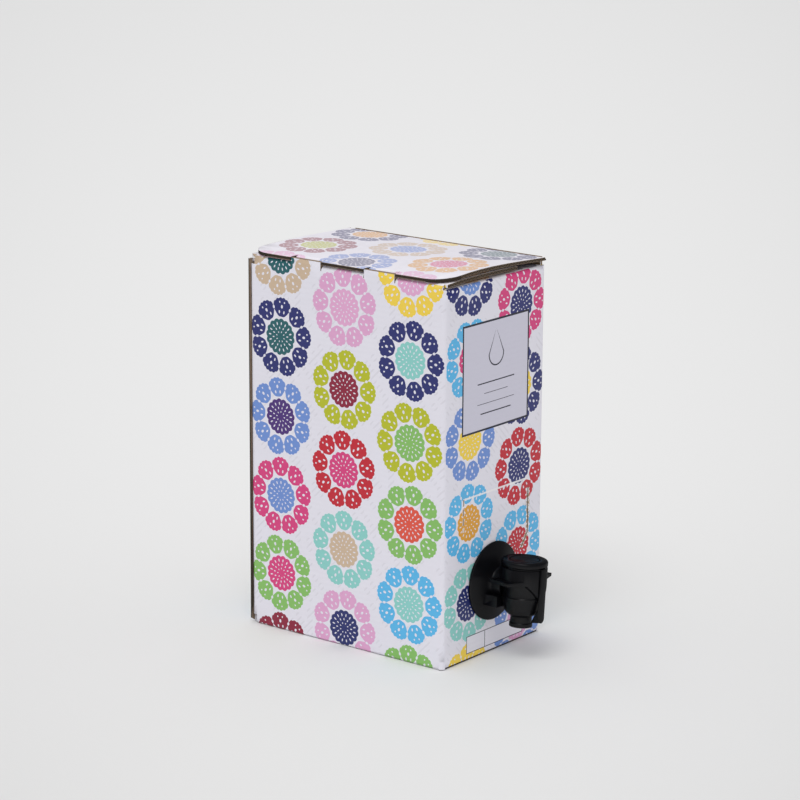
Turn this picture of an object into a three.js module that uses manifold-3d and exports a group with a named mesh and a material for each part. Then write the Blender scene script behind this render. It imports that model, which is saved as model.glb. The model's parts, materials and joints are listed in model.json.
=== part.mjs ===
// A bag in box carton, in millimetres, +Z up.
// The origin is the middle of the carton's base. The tap faces -Y, and the lid is hinged along the +X side.
// The carton is one folded sheet of fluted board. A filled bag stands in it, with a gland through the front
// panel, and a press tap is plugged into the gland.
import * as THREE from 'three';
import { mergeVertices } from 'three/addons/utils/BufferGeometryUtils.js';
import Module from 'manifold-3d';

const wasm = await Module();
wasm.setup();

// Carton
const width = 81;
const depth = 122.6;
const height = 192;
const board = 1.6;
const layerGap = 0.3;
const foldRadius = 2.4;
const glueTabWidth = 14;
const glueBite = 0.05;
const innerFlapWidth = 58;
const minorFlapLength = 23;
const bottomInnerFlapLength = 38;
const seamGap = 0.6;
const seamOffset = 6;
const flapInset = 0.6;
const foldSteps = 4;

// Tongues of the -X panel and the lid tabs tucked behind them
const tongueWidth = 18.6;
const tongueCentres = [24.4, -21.3];
const tongueSlit = 0.5;
const lockClearance = 1;
const lockTabDrop = 10;
const lockSlotRoom = 0.9;
const lidCornerRadius = 12;

// Tear-out door around the tap
const doorTop = 82.6;
const doorSlitTop = 77.6;
const perforationBottom = 66;
const doorLeft = -24.6;
const doorRight = 28.3;
const doorSlitWidth = 0.8;
const perforationWidth = 0.5;
const perforationCut = 3.2;
const perforationPitch = 4.8;
const doorShoulder = 55;
const doorShoulderIn = 5.2;
const doorFoot = 47.6;

// Bag
const bagGap = 0.4;
const bagHeadroom = 20;
const bagRounding = 7;
const bagCornerRadius = 12;
const bagBevelSteps = 4;
const bagCornerSteps = 5;

// Tap and gland, measured outwards from the back of the tap's disc
const tapHeight = 36.5;
const tapOffset = -0.4;
const tapTurn = THREE.MathUtils.degToRad(4.7);
const discSeat = 0.3;
const discRadius = 19.8;
const discRim = 1.2;
const discRimHeight = 1.1;
const discRise = 3.5;
const discWall = 1.7;
const neckFlare = 2.1;
const spigotLead = 0.45;
const spigotRadius = 9;
const spigotLength = 7.5;
const spigotGap = 0.3;
const inletRadius = 4.6;
const neckRadius = 8;
const glandNeckRadius = 12.6;
const glandHoleGap = 0.6;
const glandCollarRadius = 15;
const glandCollar = 0.6;
const glandInnerCollar = 1.2;
const glandFlangeRadius = 22;
const glandFlange = 1;
const glandFlangeDepth = 6.4;
const flangeRoom = 0.5;

// Barrel, measured up its own axis from the gland's axis
const barrelAxis = 18.25;
const capTop = 14.25;
const capRadius = 11.5;
const capSkirt = 2.85;
const capLedge = 0.95;
const capEdgeRadius = 0.9;
const edgeBreak = 0.25;
const grooveHeight = 1;
const skirtWall = 1.2;
const barrelRadius = 11.5;
const barrelBore = 8.3;
const runningGap = 0.3;
const apronRootHeight = 3.05;
const apronRootHalf = 8.2;
const apronTipHeight = -3;
const apronTipHalf = 2.7;
const shellFloor = -5;
const seatTop = -4.9;
const seatThickness = 1.2;
const seatHoleRadius = 4.2;
const spoutBore = 4;
const spoutEnd = -19.3;
const spoutRadius = 5.7;
const bowlRadius = 10;
// Radius and height down the outside of the bowl, from the ring step to the spout's lip
const bowlProfile = [
  [9.8, -3.7],
  [10.2, -4.1],
  [10.1, -5],
  [9.6, -7],
  [8.9, -9.4],
  [8.5, -11.3],
  [7.7, -12.4],
  [6.5, -13.4],
  [5.5, -14],
  [5.3, -14.4],
  [5.3, -17.1],
  [5.7, -17.5],
];
// Radius and height down the inside of the bowl, from under the seat to the spout's bore
const outletProfile = [
  [7.4, -6.1],
  [7.2, -9.4],
  [6.9, -11.2],
  [4, -12.9],
];

// Finger wings on both sides of the barrel
const wingTop = 5.07;
const wingThickness = 1.5;
const wingLip = 1.1;
const wingRecess = 0.6;
// Corners of a wing in plan, as X and the distance outwards from the barrel's axis
const wingCorners = [
  [6.5, 7.7],
  [9.3, 6.8],
  [18.4, 3.7],
  [16.2, -9.2],
  [8.2, -7.9],
  [6.5, -7.6],
];

// Square block under the neck
const blockHalfWidth = 10;
const blockTop = -4.85;
const blockBottom = -10.3;

// Push button, valve and diaphragm
const padRadius = 7.2;
const padDrop = 0.15;
const padDish = 1;
const padThickness = 0.9;
const nibRadius = 0.5;
const dishSlope = 1.7;
const bossRadius = 2.4;
const bossLength = 2;
const stemRadius = 1.5;
const socketGap = 0.3;
const diaphragmThickness = 0.5;
const diaphragmSag = 1.9;
const sealRadius = 5.4;
const sealThickness = 1.7;
const sealHubRadius = 3.6;

// Tear-off tab
const tabWidth = 4.4;
const tabThickness = 1.1;
const tabOuter = 12.1;
const tabGap = 0.3;
const tabSideGap = 0.5;
const tabBottom = -15.8;
const gussetTop = -7.8;
const gussetInner = 7.1;
const gussetWidth = 3;
const clipWidth = 0.9;

const roundSteps = 40;
const boreSteps = 28;

// Gives the solid of a closed mesh, with its faces turned outwards.
function solid(geometry) {
  const bare = new THREE.BufferGeometry();
  bare.setAttribute('position', geometry.getAttribute('position').clone());
  if (geometry.index) {
    bare.setIndex(geometry.index.clone());
  }
  const merged = mergeVertices(bare, 1e-4);
  const position = merged.getAttribute('position');
  const source = merged.index.array;
  const corner = (i) => new THREE.Vector3().fromBufferAttribute(position, i);
  const triangles = [];
  let volume = 0;
  for (let i = 0; i < source.length; i += 3) {
    const [a, b, c] = [source[i], source[i + 1], source[i + 2]];
    if (a !== b && b !== c && c !== a) {
      triangles.push(a, b, c);
      volume += corner(a).dot(corner(b).cross(corner(c)));
    }
  }
  if (volume < 0) {
    triangles.reverse();
  }
  const mesh = new wasm.Mesh({
    numProp: 3,
    vertProperties: new Float32Array(position.array),
    triVerts: new Uint32Array(triangles),
  });
  return new wasm.Manifold(mesh);
}

function join(solids) {
  return solids.reduce((whole, piece) => whole.add(piece));
}

function cut(whole, cutters) {
  return cutters.reduce((rest, cutter) => rest.subtract(cutter), whole);
}

function box(x0, x1, y0, y1, z0, z1) {
  const geometry = new THREE.BoxGeometry(x1 - x0, y1 - y0, z1 - z0);
  geometry.translate((x0 + x1) / 2, (y0 + y1) / 2, (z0 + z1) / 2);
  return solid(geometry);
}

function outline(points) {
  return new THREE.Shape(points.map(([x, y]) => new THREE.Vector2(x, y)));
}

// Extrudes an outline drawn in X and Y from z0 to z1.
function extrudeZ(shape, z0, z1) {
  const geometry = new THREE.ExtrudeGeometry(shape, { depth: z1 - z0, bevelEnabled: false });
  geometry.translate(0, 0, z0);
  return solid(geometry);
}

// Extrudes an outline drawn in X and Z from y0 to y1.
function extrudeY(shape, y0, y1) {
  const geometry = new THREE.ExtrudeGeometry(shape, { depth: y1 - y0, bevelEnabled: false });
  geometry.rotateX(Math.PI / 2);
  geometry.translate(0, y1, 0);
  return solid(geometry);
}

// Extrudes an outline drawn in Y and Z from x0 to x1.
function extrudeX(shape, x0, x1) {
  const turn = new THREE.Matrix4().makeBasis(
    new THREE.Vector3(0, 1, 0),
    new THREE.Vector3(0, 0, 1),
    new THREE.Vector3(1, 0, 0),
  );
  const geometry = new THREE.ExtrudeGeometry(shape, { depth: x1 - x0, bevelEnabled: false });
  geometry.applyMatrix4(turn);
  geometry.translate(x0, 0, 0);
  return solid(geometry);
}

// Turns a profile of radius and height round the vertical axis at distance y along Y.
function turnedUp(profile, steps, y) {
  const geometry = new THREE.LatheGeometry(profile.map(([r, h]) => new THREE.Vector2(r, h)), steps);
  geometry.rotateX(Math.PI / 2);
  geometry.translate(0, y, 0);
  return solid(geometry);
}

// Turns a profile of radius and outward distance round the gland's axis, which points along -Y.
function turnedOut(profile, steps) {
  return solid(new THREE.LatheGeometry(profile.map(([r, o]) => new THREE.Vector2(r, -o)), steps));
}

// Outline of a strip of board whose outer face follows right-angled corners that all turn the same way.
function foldedStrip(corners) {
  const path = corners.map(([x, y]) => new THREE.Vector2(x, y));
  const outer = [];
  const inner = [];
  const first = path[1].clone().sub(path[0]).normalize();
  const second = path.length > 2 ? path[2].clone().sub(path[1]).normalize() : first;
  const side = Math.sign(first.cross(second)) || 1;
  const inward = (d) => new THREE.Vector2(-d.y * side, d.x * side);
  const place = (point, direction) => {
    outer.push(point.clone());
    inner.push(point.clone().add(inward(direction).multiplyScalar(board)));
  };
  place(path[0], first);
  for (let i = 1; i < path.length - 1; i += 1) {
    const before = path[i].clone().sub(path[i - 1]).normalize();
    const after = path[i + 1].clone().sub(path[i]).normalize();
    const centre = path[i].clone().addScaledVector(before, -foldRadius);
    centre.addScaledVector(inward(before), foldRadius);
    for (let k = 0; k <= foldSteps; k += 1) {
      const turn = (k / foldSteps) * (Math.PI / 2);
      const radial = inward(before).multiplyScalar(-Math.cos(turn)).addScaledVector(before, Math.sin(turn));
      outer.push(centre.clone().addScaledVector(radial, foldRadius));
      inner.push(centre.clone().addScaledVector(radial, foldRadius - board));
    }
    if (i === path.length - 2) {
      place(path[i + 1], after);
    }
  }
  return new THREE.Shape([...outer, ...inner.reverse()]);
}

// Levels of the board layers
const halfWidth = width / 2;
const halfDepth = depth / 2;
const lidBottom = height - board;
const innerFlapTop = lidBottom - layerGap;
const minorFlapTop = innerFlapTop - board - layerGap;
const bottomInnerFlapBase = board + layerGap;
const tubeBottom = bottomInnerFlapBase + foldRadius;
const tubeTop = minorFlapTop - foldRadius;
const lockTabFace = -halfWidth + board + lockClearance;

// Top of the bag under the lid
const bagTop = height - bagHeadroom;

// Tap datum on the front panel
const glandHoleRadius = glandNeckRadius + glandHoleGap;
const frontFace = -halfDepth;

function cartonTube() {
  const seam = halfDepth - board;
  const overlap = 2 * foldRadius;
  const walls = foldedStrip([
    [-halfWidth, halfDepth],
    [halfWidth, halfDepth],
    [halfWidth, -halfDepth],
    [-halfWidth, -halfDepth],
    [-halfWidth, seam - overlap],
  ]);
  const glueTab = foldedStrip([
    [-halfWidth + glueTabWidth, seam + glueBite],
    [-halfWidth, seam + glueBite],
    [-halfWidth, seam - 2 * overlap],
  ]);
  const tube = extrudeZ(walls, tubeBottom, tubeTop);
  return tube.add(extrudeZ(glueTab, tubeBottom, tubeTop));
}

// The -X side: bottom flap, wall and inner top flap in one strip.
function tongueSide() {
  const strip = foldedStrip([
    [seamOffset - seamGap / 2, 0],
    [-halfWidth, 0],
    [-halfWidth, innerFlapTop],
    [-halfWidth + innerFlapWidth, innerFlapTop],
  ]);
  const body = extrudeY(strip, -halfDepth + foldRadius, halfDepth - board - foldRadius);
  const topFlap = box(
    -halfWidth + foldRadius,
    -halfWidth + innerFlapWidth,
    -halfDepth + flapInset,
    halfDepth - flapInset,
    innerFlapTop - board,
    innerFlapTop,
  );
  const slots = tongueCentres.map((y) => box(
    -halfWidth - board,
    lockTabFace + board + lockSlotRoom,
    y - tongueWidth / 2 - tongueSlit,
    y + tongueWidth / 2 + tongueSlit,
    innerFlapTop - foldRadius,
    height + board,
  ));
  const tongues = tongueCentres.map((y) => box(
    -halfWidth,
    -halfWidth + board,
    y - tongueWidth / 2,
    y + tongueWidth / 2,
    innerFlapTop - 2 * foldRadius,
    height,
  ));
  return join([cut(body.add(topFlap), slots), ...tongues]);
}

// The +X side: bottom flap and wall, which the lid is creased to.
function hingeSide() {
  const strip = foldedStrip([
    [seamOffset + seamGap / 2, 0],
    [halfWidth, 0],
    [halfWidth, innerFlapTop],
  ]);
  return extrudeY(strip, -halfDepth + foldRadius, halfDepth - foldRadius);
}

function outerBottomFlaps() {
  const front = -halfDepth + flapInset;
  const rear = halfDepth - flapInset;
  return [
    box(-halfWidth + foldRadius, seamOffset - seamGap / 2, front, rear, 0, board),
    box(seamOffset + seamGap / 2, halfWidth - foldRadius, front, rear, 0, board),
  ];
}

// The front or rear panel with its top minor flap and inner bottom flap. side is -1 in front and 1 behind.
function endPanel(side) {
  const strip = foldedStrip([
    [side * (halfDepth - bottomInnerFlapLength), bottomInnerFlapBase],
    [side * halfDepth, bottomInnerFlapBase],
    [side * halfDepth, minorFlapTop],
    [side * (halfDepth - minorFlapLength), minorFlapTop],
  ]);
  return extrudeX(strip, -halfWidth + foldRadius, halfWidth - foldRadius);
}

// The rear panel runs on past the side panel, where its cut edge shows.
function rearRawEdge() {
  const inner = -halfWidth + foldRadius;
  return box(-halfWidth, inner, halfDepth - board, halfDepth, bottomInnerFlapBase, minorFlapTop);
}

// A straight cut through the front panel between two points of X and Z.
function frontSlit(from, to, cutWidth) {
  const start = new THREE.Vector2(...from);
  const run = new THREE.Vector2(...to).sub(start);
  const geometry = new THREE.BoxGeometry(run.length(), 3 * board, cutWidth);
  geometry.rotateY(-run.angle());
  geometry.translate(start.x + run.x / 2, frontFace + board / 2, start.y + run.y / 2);
  return solid(geometry);
}

function doorCuts() {
  const cuts = [];
  const slope = [[doorRight, doorShoulder], [doorRight - doorShoulderIn, doorFoot]];
  cuts.push(frontSlit([doorRight, doorSlitTop], slope[0], doorSlitWidth));
  cuts.push(frontSlit(slope[0], slope[1], doorSlitWidth));
  for (let z = doorTop; z - perforationCut > perforationBottom; z -= perforationPitch) {
    cuts.push(frontSlit([doorLeft, z], [doorLeft, z - perforationCut], perforationWidth));
  }
  return cuts;
}

function glandHole() {
  const geometry = new THREE.CylinderGeometry(glandHoleRadius, glandHoleRadius, 4 * board, roundSteps);
  geometry.translate(tapOffset, frontFace, tapHeight);
  return solid(geometry);
}

function cartonBody() {
  const folded = join([
    cartonTube(),
    tongueSide(),
    hingeSide(),
    ...outerBottomFlaps(),
    endPanel(-1),
    endPanel(1),
    rearRawEdge(),
  ]);
  return cut(folded, [glandHole(), ...doorCuts()]);
}

// The lid covers the whole top. Its notches take the tongues, and its lock tabs tuck behind them.
function cartonLid() {
  const r = lidCornerRadius;
  const plan = new THREE.Shape();
  plan.moveTo(halfWidth, -halfDepth);
  plan.lineTo(halfWidth, halfDepth);
  plan.lineTo(-halfWidth + r, halfDepth);
  plan.absarc(-halfWidth + r, halfDepth - r, r, Math.PI / 2, Math.PI, false);
  plan.lineTo(-halfWidth, -halfDepth + r);
  plan.absarc(-halfWidth + r, -halfDepth + r, r, Math.PI, 1.5 * Math.PI, false);
  const plate = extrudeZ(plan, lidBottom, height);
  const notches = tongueCentres.map((y) => box(
    -halfWidth - board,
    lockTabFace + foldRadius,
    y - tongueWidth / 2 - tongueSlit,
    y + tongueWidth / 2 + tongueSlit,
    lidBottom - board,
    height + board,
  ));
  const lockStrip = foldedStrip([
    [lockTabFace + 2 * foldRadius, height],
    [lockTabFace, height],
    [lockTabFace, lidBottom - lockTabDrop],
  ]);
  const lockTabs = tongueCentres.map((y) => extrudeY(
    lockStrip,
    y - tongueWidth / 2 + tongueSlit,
    y + tongueWidth / 2 - tongueSlit,
  ));
  return join([cut(plate, notches), ...lockTabs]);
}

function roundedRectangle(halfX, halfY, r) {
  const shape = new THREE.Shape();
  shape.absarc(halfX - r, halfY - r, r, 0, Math.PI / 2, false);
  shape.absarc(-halfX + r, halfY - r, r, Math.PI / 2, Math.PI, false);
  shape.absarc(-halfX + r, -halfY + r, r, Math.PI, 1.5 * Math.PI, false);
  shape.absarc(halfX - r, -halfY + r, r, 1.5 * Math.PI, 2 * Math.PI, false);
  return shape;
}

// The filled bag, with a round hollow in its front where it closes on the gland's flange.
function filledBag() {
  const clear = board + bagGap + bagRounding;
  const bottom = bottomInnerFlapBase + board + bagGap;
  const tabRoom = board / 2;
  const halfY = halfDepth - clear - tabRoom;
  const plan = roundedRectangle(halfWidth - clear, halfY, bagCornerRadius - bagRounding);
  const geometry = new THREE.ExtrudeGeometry(plan, {
    depth: bagTop - bottom - 2 * bagRounding,
    bevelEnabled: true,
    bevelThickness: bagRounding,
    bevelSize: bagRounding,
    bevelSegments: bagBevelSteps,
    curveSegments: bagCornerSteps,
  });
  geometry.translate(0, -tabRoom, bottom + bagRounding);
  const hollowDepth = discSeat + glandFlangeDepth + spigotGap;
  const reach = glandFlangeRadius + flangeRoom;
  const hollow = new THREE.CylinderGeometry(reach, reach, 2 * (hollowDepth - discSeat), roundSteps);
  hollow.translate(tapOffset, frontFace - discSeat, tapHeight);
  const spigotDepth = 2 * (spigotLength + spigotGap);
  const spigotRoom = new THREE.CylinderGeometry(spigotRadius, spigotRadius, spigotDepth, boreSteps);
  spigotRoom.translate(tapOffset, frontFace - discSeat, tapHeight);
  return cut(solid(geometry), [solid(hollow), solid(spigotRoom)]);
}

// The gland is welded to the bag by its flange, and its two collars hold the edge of the panel's hole.
function bagGland() {
  const bore = spigotRadius + spigotGap;
  const back = -glandFlangeDepth;
  const boardBack = -discSeat - board - runningGap;
  return turnedOut([
    [bore, back],
    [glandFlangeRadius, back],
    [glandFlangeRadius, back + glandFlange],
    [glandNeckRadius, back + glandFlange],
    [glandNeckRadius, boardBack - glandInnerCollar],
    [glandCollarRadius, boardBack - glandInnerCollar],
    [glandCollarRadius, boardBack],
    [glandNeckRadius, boardBack],
    [glandNeckRadius, 0],
    [glandCollarRadius, 0],
    [glandCollarRadius, glandCollar],
    [bore, glandCollar],
    [bore, back],
  ], roundSteps);
}

// The tap's disc is a shallow cone with a thin rim. Its spigot plugs into the gland.
function tapDisc() {
  const rimInside = discRadius - discRim;
  return turnedOut([
    [0, -spigotLength],
    [spigotRadius - spigotLead, -spigotLength],
    [spigotRadius, -spigotLength + 2 * spigotLead],
    [spigotRadius, discRise - discWall - spigotLead],
    [spigotRadius + 3 * spigotLead, discRise - discWall],
    [rimInside - spigotGap, spigotLead],
    [rimInside, 0],
    [discRadius, 0],
    [discRadius, discRimHeight - spigotLead],
    [discRadius - spigotLead, discRimHeight],
    [neckRadius + neckFlare, discRise],
    [neckRadius + neckFlare / 10, discRise + neckFlare / 2],
    [neckRadius, discRise + neckFlare],
    [neckRadius, barrelAxis - barrelBore],
    [0, barrelAxis - barrelBore],
  ], roundSteps);
}

const shoulder = capTop - capSkirt - grooveHeight;
const collarRadius = capRadius - skirtWall - runningGap;
const ledgeBottom = capTop - capLedge;
const diaphragmRim = ledgeBottom - runningGap - diaphragmThickness;
const collarTop = diaphragmRim - runningGap;

function barrelShell() {
  const shell = turnedUp([
    [0, shellFloor],
    [barrelRadius, shellFloor],
    [barrelRadius, shoulder],
    [collarRadius, shoulder],
    [collarRadius, collarTop],
    [0, collarTop],
  ], roundSteps, -barrelAxis);
  const side = barrelRadius + board;
  const apron = extrudeY(outline([
    [-side, collarTop + board],
    [-side, apronRootHeight],
    [-apronRootHalf, apronRootHeight],
    [-apronTipHalf, apronTipHeight],
    [apronTipHalf, apronTipHeight],
    [apronRootHalf, apronRootHeight],
    [side, apronRootHeight],
    [side, collarTop + board],
  ]), -barrelAxis - side, -barrelAxis);
  const rear = box(-side, side, -barrelAxis, -barrelAxis + side, apronRootHeight, collarTop + board);
  return shell.intersect(apron.add(rear));
}

// The bowl narrows below a raised ring and rounds into the spout.
function bowlAndSpout() {
  return turnedUp([
    [0, apronRootHeight + wingThickness],
    [bowlRadius, apronRootHeight + wingThickness],
    ...bowlProfile,
    [spoutRadius, spoutEnd],
    [0, spoutEnd],
  ], roundSteps, -barrelAxis);
}

function barrelHollow() {
  const seatBottom = seatTop - seatThickness;
  return turnedUp([
    [0, collarTop + board],
    [barrelBore, collarTop + board],
    [barrelBore, seatTop],
    [seatHoleRadius, seatTop],
    [seatHoleRadius, seatBottom],
    ...outletProfile.map(([r, h]) => [r, Math.min(h, seatBottom)]),
    [spoutBore, spoutEnd - board],
    [0, spoutEnd - board],
  ], boreSteps, -barrelAxis);
}

// Plan of a wing, drawn in by an inset, on the side given by its sign.
function wingPlan(sign, inset) {
  const points = wingCorners.map(([x, v]) => [
    x > barrelRadius ? x - inset : x,
    v - Math.sign(v) * inset,
  ]);
  return outline(points.map(([x, v]) => [sign * x, -barrelAxis - v]));
}

function wing(sign) {
  const plate = extrudeZ(wingPlan(sign, 0), wingTop - wingThickness, wingTop);
  const recess = extrudeZ(wingPlan(sign, wingLip), wingTop - wingRecess, wingTop + board);
  return plate.subtract(recess);
}

function tapBody() {
  const block = box(
    -blockHalfWidth,
    blockHalfWidth,
    -barrelAxis + neckRadius,
    -discRise + discRimHeight,
    blockBottom,
    blockTop,
  );
  const wings = [wing(-1), wing(1)];
  const channel = box(
    -tabWidth / 2 - tabSideGap,
    tabWidth / 2 + tabSideGap,
    -barrelAxis - barrelRadius - board,
    -barrelAxis - tabOuter + tabThickness + tabGap,
    shellFloor,
    shoulder,
  );
  const inletLength = barrelAxis - barrelBore + 2 * spigotLength;
  const inlet = new THREE.CylinderGeometry(inletRadius, inletRadius, inletLength, boreSteps);
  inlet.translate(0, -(barrelAxis - barrelBore) / 2 + board / 2, 0);
  const body = join([tapDisc(), barrelShell(), bowlAndSpout(), block, ...wings]);
  return cut(body, [barrelHollow(), solid(inlet), channel]);
}

// The ring is pressed on the barrel's collar and clamps the rim of the diaphragm.
function capRing() {
  const bottom = capTop - capSkirt;
  const lip = padRadius + runningGap;
  return turnedUp([
    [capRadius - skirtWall, bottom],
    [capRadius - edgeBreak, bottom],
    [capRadius, bottom + edgeBreak],
    [capRadius, capTop - capEdgeRadius],
    [capRadius - capEdgeRadius / 3, capTop - capEdgeRadius / 3],
    [capRadius - capEdgeRadius, capTop],
    [lip + 2 * edgeBreak, capTop],
    [lip, capTop - edgeBreak],
    [lip, ledgeBottom],
    [capRadius - skirtWall, ledgeBottom],
    [capRadius - skirtWall, bottom],
  ], roundSteps, -barrelAxis);
}

const padTop = capTop - padDrop;
const padMiddle = padTop - padDish;
const bossBottom = padMiddle - padThickness - bossLength;

// The thumb pad is dished, and a boss under it grips the stem.
function pushButton() {
  const socket = stemRadius + socketGap;
  return turnedUp([
    [0, padMiddle + edgeBreak],
    [nibRadius, padMiddle],
    [padRadius / 2, padMiddle + padDish / 6],
    [padRadius - dishSlope, padMiddle + padDish / 2],
    [padRadius - edgeBreak, padTop],
    [padRadius, padTop - edgeBreak],
    [padRadius, padTop - padThickness],
    [padRadius - dishSlope, padMiddle - padThickness + padDish / 2],
    [bossRadius, padMiddle - padThickness],
    [bossRadius, bossBottom],
    [socket, bossBottom],
    [socket, padMiddle - padThickness + socketGap],
    [0, padMiddle - padThickness + socketGap],
  ], roundSteps, -barrelAxis);
}

// The elastic diaphragm lifts the button and keeps the valve shut.
function returnDiaphragm() {
  const hub = bossRadius + runningGap;
  const rimTop = diaphragmRim + diaphragmThickness;
  return turnedUp([
    [collarRadius - runningGap, diaphragmRim],
    [collarRadius - runningGap, rimTop],
    [barrelBore, rimTop],
    [hub, rimTop - diaphragmSag],
    [hub, diaphragmRim - diaphragmSag],
    [barrelBore - runningGap, diaphragmRim],
    [collarRadius - runningGap, diaphragmRim],
  ], boreSteps, -barrelAxis);
}

const sealTop = seatTop - seatThickness - runningGap;

function valveStem() {
  return turnedUp([
    [0, sealTop - sealThickness + 2 * socketGap],
    [stemRadius, sealTop - sealThickness + 2 * socketGap],
    [stemRadius, padMiddle - padThickness],
    [0, padMiddle - padThickness],
  ], boreSteps, -barrelAxis);
}

// The soft seal closes the seat from below.
function valveSeal() {
  const socket = stemRadius + socketGap;
  const floor = sealTop - sealThickness;
  return turnedUp([
    [0, floor],
    [sealRadius - 2 * edgeBreak, floor],
    [sealRadius, floor + 2 * edgeBreak],
    [sealRadius, sealTop],
    [sealHubRadius, sealTop],
    [sealHubRadius - 2 * edgeBreak, sealTop + seatThickness],
    [socket, sealTop + seatThickness],
    [socket, floor + socketGap],
    [0, floor + socketGap],
  ], boreSteps, -barrelAxis);
}

// The tab hangs down the barrel's front from a half ring that clips into the groove.
function tearOffTab() {
  const r = tabWidth / 2;
  const clipInner = collarRadius + tabGap;
  const clipBottom = shoulder + tabGap;
  const clipTop = capTop - capSkirt - tabGap;
  const back = -barrelAxis - tabOuter + tabThickness;
  const face = new THREE.Shape();
  face.moveTo(-r, clipTop);
  face.lineTo(-r, tabBottom + r);
  face.absarc(0, tabBottom + r, r, Math.PI, 2 * Math.PI, false);
  face.lineTo(r, clipTop);
  const strap = extrudeY(face, -barrelAxis - tabOuter, back);
  const bridge = box(-r, r, back - tabThickness / 2, -barrelAxis - clipInner, clipBottom, clipTop);
  const ring = turnedUp([
    [clipInner, clipBottom],
    [clipInner + clipWidth, clipBottom],
    [clipInner + clipWidth, clipTop],
    [clipInner, clipTop],
    [clipInner, clipBottom],
  ], roundSteps, -barrelAxis);
  const side = 2 * barrelRadius;
  const frontHalf = box(-side, side, -barrelAxis - side, -barrelAxis, clipBottom - board, clipTop + board);
  const gusset = extrudeX(outline([
    [back - tabThickness / 2, gussetTop],
    [back - tabThickness / 2, tabBottom + edgeBreak],
    [-barrelAxis - gussetInner, tabBottom - 2 * edgeBreak],
    [-barrelAxis - gussetInner - edgeBreak, tabBottom + 2 * edgeBreak],
    [back, gussetTop],
  ]), -gussetWidth / 2, gussetWidth / 2);
  return join([strap, bridge, ring.intersect(frontHalf), gusset]);
}

function finish(colour, roughness) {
  return new THREE.MeshStandardMaterial({ color: colour, roughness, metalness: 0 });
}

function meshOf(name, manifold, material) {
  const { vertProperties, triVerts } = manifold.getMesh();
  const geometry = new THREE.BufferGeometry();
  geometry.setAttribute('position', new THREE.BufferAttribute(new Float32Array(vertProperties), 3));
  geometry.setIndex(new THREE.BufferAttribute(new Uint32Array(triVerts), 1));
  geometry.computeVertexNormals();
  const mesh = new THREE.Mesh(geometry, material);
  mesh.name = name;
  return mesh;
}

const carton = new THREE.Group();
carton.add(meshOf('carton_body', cartonBody(), finish(0xd9d8e4, 0.6)));
carton.add(meshOf('carton_lid', cartonLid(), finish(0xdedde8, 0.6)));
carton.add(meshOf('filled_bag', filledBag(), finish(0xc9cbd0, 0.3)));

const tap = new THREE.Group();
tap.position.set(tapOffset, frontFace - discSeat, tapHeight);
tap.rotation.y = tapTurn;
tap.add(meshOf('bag_gland', bagGland(), finish(0xe4e4e0, 0.4)));
tap.add(meshOf('tap_body', tapBody(), finish(0x151519, 0.35)));
tap.add(meshOf('cap_ring', capRing(), finish(0x151519, 0.3)));
tap.add(meshOf('push_button', pushButton(), finish(0x17171b, 0.35)));
tap.add(meshOf('return_diaphragm', returnDiaphragm(), finish(0x3a3a3e, 0.6)));
tap.add(meshOf('valve_stem', valveStem(), finish(0xd8d8d4, 0.4)));
tap.add(meshOf('valve_seal', valveSeal(), finish(0x2a2a2e, 0.7)));
tap.add(meshOf('tear_off_tab', tearOffTab(), finish(0x151519, 0.35)));

const bagInBox = new THREE.Group();
bagInBox.add(carton, tap);

export default bagInBox;
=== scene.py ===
"""Dresses a bag in box carton: printed fluted board, a film bag, and a black press tap."""

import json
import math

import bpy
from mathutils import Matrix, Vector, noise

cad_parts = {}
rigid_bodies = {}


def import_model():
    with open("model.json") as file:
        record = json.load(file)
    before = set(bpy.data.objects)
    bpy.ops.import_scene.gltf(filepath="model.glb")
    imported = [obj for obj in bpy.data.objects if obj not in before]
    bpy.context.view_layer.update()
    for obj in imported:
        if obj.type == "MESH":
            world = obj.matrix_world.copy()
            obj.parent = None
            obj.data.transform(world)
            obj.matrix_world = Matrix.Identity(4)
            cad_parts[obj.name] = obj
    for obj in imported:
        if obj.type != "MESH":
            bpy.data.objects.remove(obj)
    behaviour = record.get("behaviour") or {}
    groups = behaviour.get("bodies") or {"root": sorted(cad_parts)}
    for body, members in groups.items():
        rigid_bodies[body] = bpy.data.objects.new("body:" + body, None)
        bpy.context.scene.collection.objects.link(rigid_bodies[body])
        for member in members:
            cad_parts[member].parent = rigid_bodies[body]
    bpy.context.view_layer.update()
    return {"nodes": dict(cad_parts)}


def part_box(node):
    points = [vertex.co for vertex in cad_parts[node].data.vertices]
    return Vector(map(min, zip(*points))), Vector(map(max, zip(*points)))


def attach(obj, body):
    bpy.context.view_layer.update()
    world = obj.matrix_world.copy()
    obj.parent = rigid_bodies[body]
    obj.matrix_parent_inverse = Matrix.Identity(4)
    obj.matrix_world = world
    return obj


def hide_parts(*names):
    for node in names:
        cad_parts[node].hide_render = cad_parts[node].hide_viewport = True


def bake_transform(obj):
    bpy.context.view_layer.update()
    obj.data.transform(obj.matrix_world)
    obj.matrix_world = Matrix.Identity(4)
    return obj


bl_info = {
    "name": "Bag in box carton",
    "version": (1, 0, 0),
    "blender": (4, 5, 0),
    "location": "View3D > Sidebar > Carton",
    "description": "Printed carton with a film bag and a press tap, built around its packed model",
    "category": "Object",
}

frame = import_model()

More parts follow.
